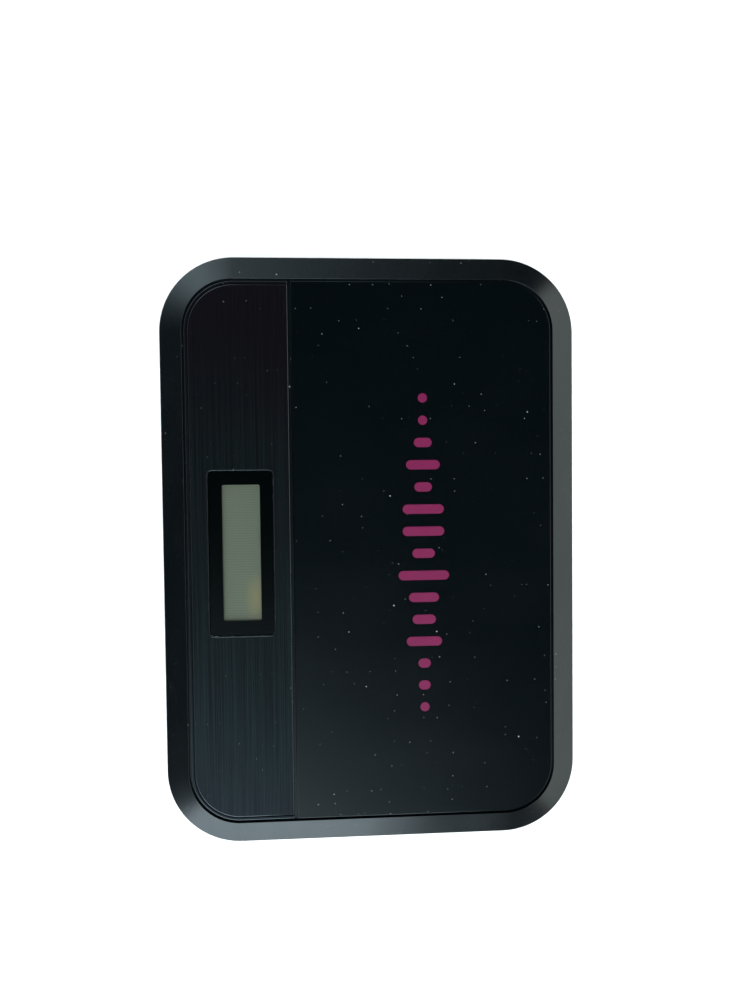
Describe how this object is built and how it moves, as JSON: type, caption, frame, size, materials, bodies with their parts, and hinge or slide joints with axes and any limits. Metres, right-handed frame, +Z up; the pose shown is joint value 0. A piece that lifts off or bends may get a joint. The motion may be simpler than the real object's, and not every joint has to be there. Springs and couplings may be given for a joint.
{
  "type": "mobile hotspot",
  "caption": "Pocket battery router: rounded slab case with sloped rim, brushed display strip with small LCD, side buttons, micro-USB port, sliding battery cover and card socket.",
  "frame": {"origin": "centre of the underside, on the surface that the device lies on", "axes": "+X along the case's long side, towards the power button; +Y across it, from the display strip to the charging port; +Z up out of the top face"},
  "size_m": [0.107, 0.0756, 0.014],
  "materials": {
    "satin_black": "satin",
    "housing_black": "fine texture",
    "panel_black": "semi-gloss",
    "brushed_dark": "brushed along the length",
    "window": "clear",
    "mask_black": "gloss",
    "lcd": "matt reflective",
    "white_plastic": "matt",
    "light_guide": "gloss",
    "flex": "satin",
    "connector_ivory": "matt",
    "board_green": "solder mask",
    "tinned_steel": "tinned",
    "chip_black": "matt",
    "ceramic_tan": "matt",
    "crystal_can": "satin",
    "ferrite": "matt",
    "thermal_silicone": "soft",
    "battery_wrap": "satin film",
    "gold_contact": "gold plated",
    "connector_black": "matt",
    "card_white": "satin",
    "port_steel": "nickel plated",
    "button_black": "satin",
    "switch_plunger": "matt",
    "antenna_copper": "flex copper",
    "screw_black": "black zinc"
  },
  "bodies": {
    "root": {"front_housing": "satin_black", "top_panel": "panel_black", "display_trim": "brushed_dark", "display_lens": "window", "lens_mask": "mask_black", "lcd_glass": "lcd", "lcd_frame": "white_plastic", "lcd_backlight": "light_guide", "lcd_flex": "flex", "lcd_connector": "connector_ivory", "main_board": "board_green", "modem_shield": "tinned_steel", "radio_shield": "tinned_steel", "wifi_shield": "tinned_steel", "modem_chip": "chip_black", "memory_chip": "chip_black", "power_chip": "chip_black", "transceiver_chip": "chip_black", "power_amplifiers": "chip_black", "wifi_chip": "chip_black", "board_crystals": "crystal_can", "board_capacitors": "ceramic_tan", "board_inductors": "ferrite", "thermal_pad": "thermal_silicone", "rear_housing": "housing_black", "battery_pack": "battery_wrap", "battery_terminals": "gold_contact", "battery_connector": "connector_black", "battery_springs": "gold_contact", "sim_socket": "tinned_steel", "sim_contacts": "gold_contact", "usb_shell": "port_steel", "usb_tongue": "connector_black", "usb_contacts": "gold_contact", "power_switch": "tinned_steel", "pairing_switch": "tinned_steel", "reset_switch": "tinned_steel", "main_antenna": "antenna_copper", "diversity_antenna": "antenna_copper", "wifi_antenna": "antenna_copper", "antenna_springs": "gold_contact", "housing_screws": "screw_black", "board_screws": "screw_black"},
    "cover": {"battery_cover": "housing_black"},
    "sim": {"sim_card": "card_white", "sim_pads": "gold_contact"},
    "power": {"power_button": "button_black", "power_plunger": "switch_plunger"},
    "pairing": {"pairing_button": "button_black", "pairing_plunger": "switch_plunger"},
    "reset": {"reset_plunger": "switch_plunger"}
  },
  "joints": [
    {"name": "cover_slide", "type": "slide", "parent": "root", "child": "cover", "axis": [1, 0, 0], "range_m": [0, 0.008]},
    {"name": "sim_slide", "type": "slide", "parent": "root", "child": "sim", "axis": [-1, 0, 0], "range_m": [0, 0.018]},
    {"name": "power_press", "type": "slide", "parent": "root", "child": "power", "axis": [-1, 0, 0], "range_m": [0, 0.0003], "stiffness_N_per_m": 2000},
    {"name": "pairing_press", "type": "slide", "parent": "root", "child": "pairing", "axis": [1, 0, 0], "range_m": [0, 0.0003], "stiffness_N_per_m": 2000},
    {"name": "reset_press", "type": "slide", "parent": "root", "child": "reset", "axis": [0, -1, 0], "range_m": [0, 0.00025], "stiffness_N_per_m": 2000}
  ]
}
